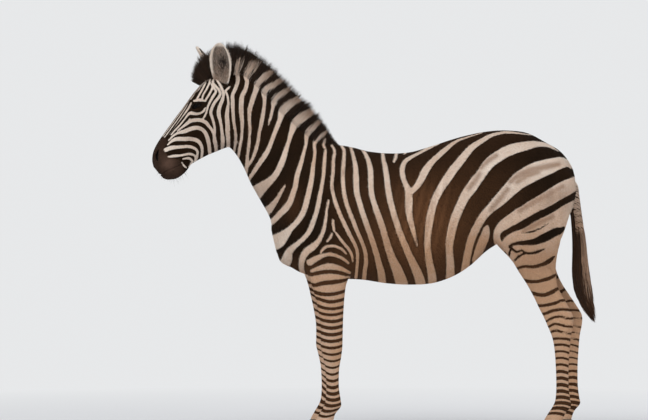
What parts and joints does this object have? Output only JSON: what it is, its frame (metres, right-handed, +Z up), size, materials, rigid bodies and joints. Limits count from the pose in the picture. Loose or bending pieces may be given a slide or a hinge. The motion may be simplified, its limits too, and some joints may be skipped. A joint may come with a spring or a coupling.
{
  "type": "plains zebra model",
  "caption": "Life-size still model of a standing adult plains zebra, with upright mane and hanging tail, for display.",
  "frame": {"origin": "on the floor, below the middle of the whole animal", "axes": "-X the way the animal faces, -Y its left side, +Z up"},
  "size_m": [2.0062, 0.568, 1.7888],
  "materials": {
    "coat": "short flat fur, black stripes on pale cream",
    "mane": "stiff upright hair, banded black and pale",
    "muzzle": "dark brown velvety skin",
    "ear": "grey fur inside, white rim, dark tip behind",
    "eye": "wet gloss, dark brown iris",
    "hoof": "dark horn with fine growth rings",
    "switch": "long black tail hair"
  },
  "bodies": {
    "root": {"head": "coat", "muzzle": "muzzle", "eye_left": "eye", "eye_right": "eye", "ear_left": "ear", "ear_right": "ear", "neck": "coat", "mane": "mane", "trunk": "coat", "tail_dock": "coat", "tail_switch": "switch", "foreleg_left_forearm": "coat", "foreleg_left_cannon": "coat", "foreleg_left_hoof": "hoof", "foreleg_right_forearm": "coat", "foreleg_right_cannon": "coat", "foreleg_right_hoof": "hoof", "hindleg_left_gaskin": "coat", "hindleg_left_cannon": "coat", "hindleg_left_hoof": "hoof", "hindleg_right_gaskin": "coat", "hindleg_right_cannon": "coat", "hindleg_right_hoof": "hoof"}
  },
  "joints": []
}
